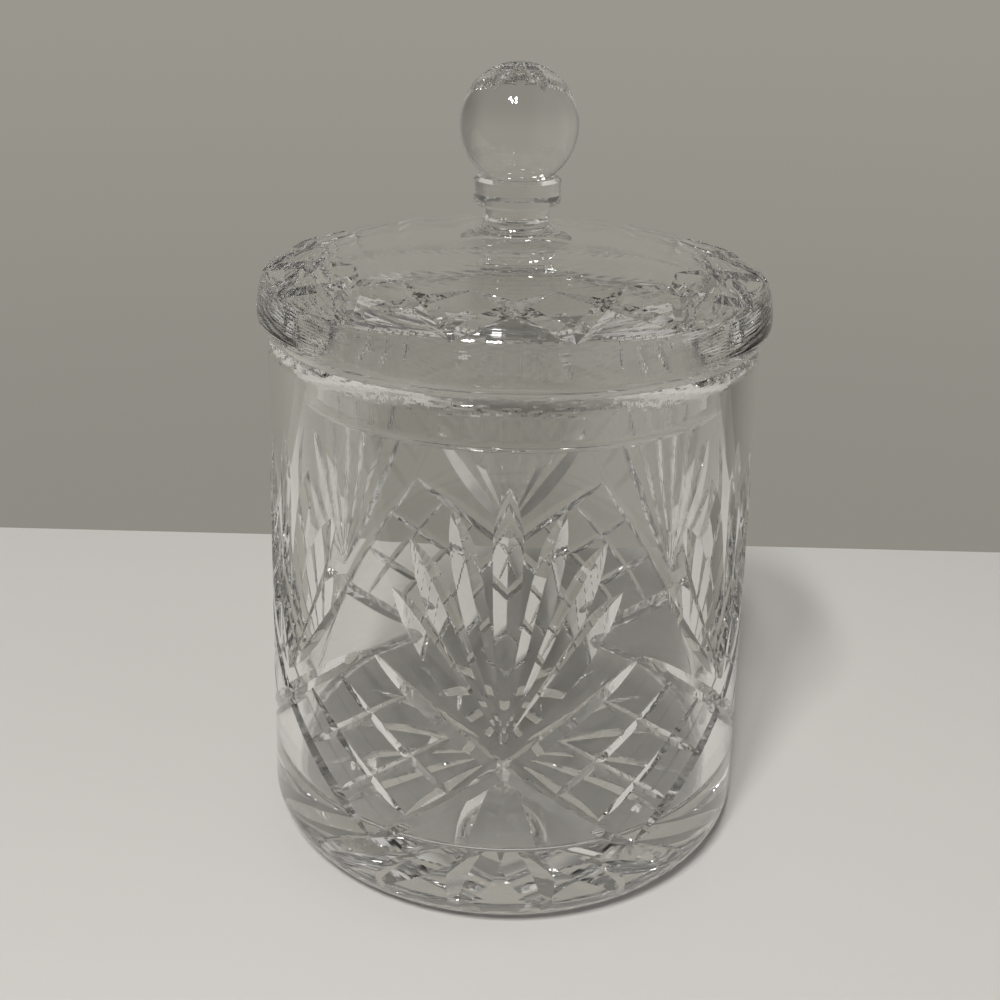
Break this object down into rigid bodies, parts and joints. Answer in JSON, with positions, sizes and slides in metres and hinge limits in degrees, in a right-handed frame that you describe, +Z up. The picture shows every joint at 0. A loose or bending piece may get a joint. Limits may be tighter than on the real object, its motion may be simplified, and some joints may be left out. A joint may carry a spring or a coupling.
{
  "type": "crystal canister",
  "caption": "Clear cut-crystal canister: a thick jar with fans and hatched lozenges round its wall, and a domed lid that lifts off by a ball knob.",
  "frame": {"origin": "middle of the base, on the plane the jar stands on", "axes": "+Z is up along the axis of the jar, lid and knob, and -Y is the front, where a fan faces the viewer"},
  "size_m": [0.1274, 0.1274, 0.1957],
  "materials": {
    "crystal": "polished clear colourless lead crystal with mitre cuts"
  },
  "bodies": {
    "jar": {"jar": "crystal"},
    "lid": {"lid": "crystal", "knob": "crystal"}
  },
  "joints": [
    {"name": "lid_lift", "type": "slide", "parent": "jar", "child": "lid", "axis": [0, 0, 1], "range_m": [0, 0.1]}
  ]
}
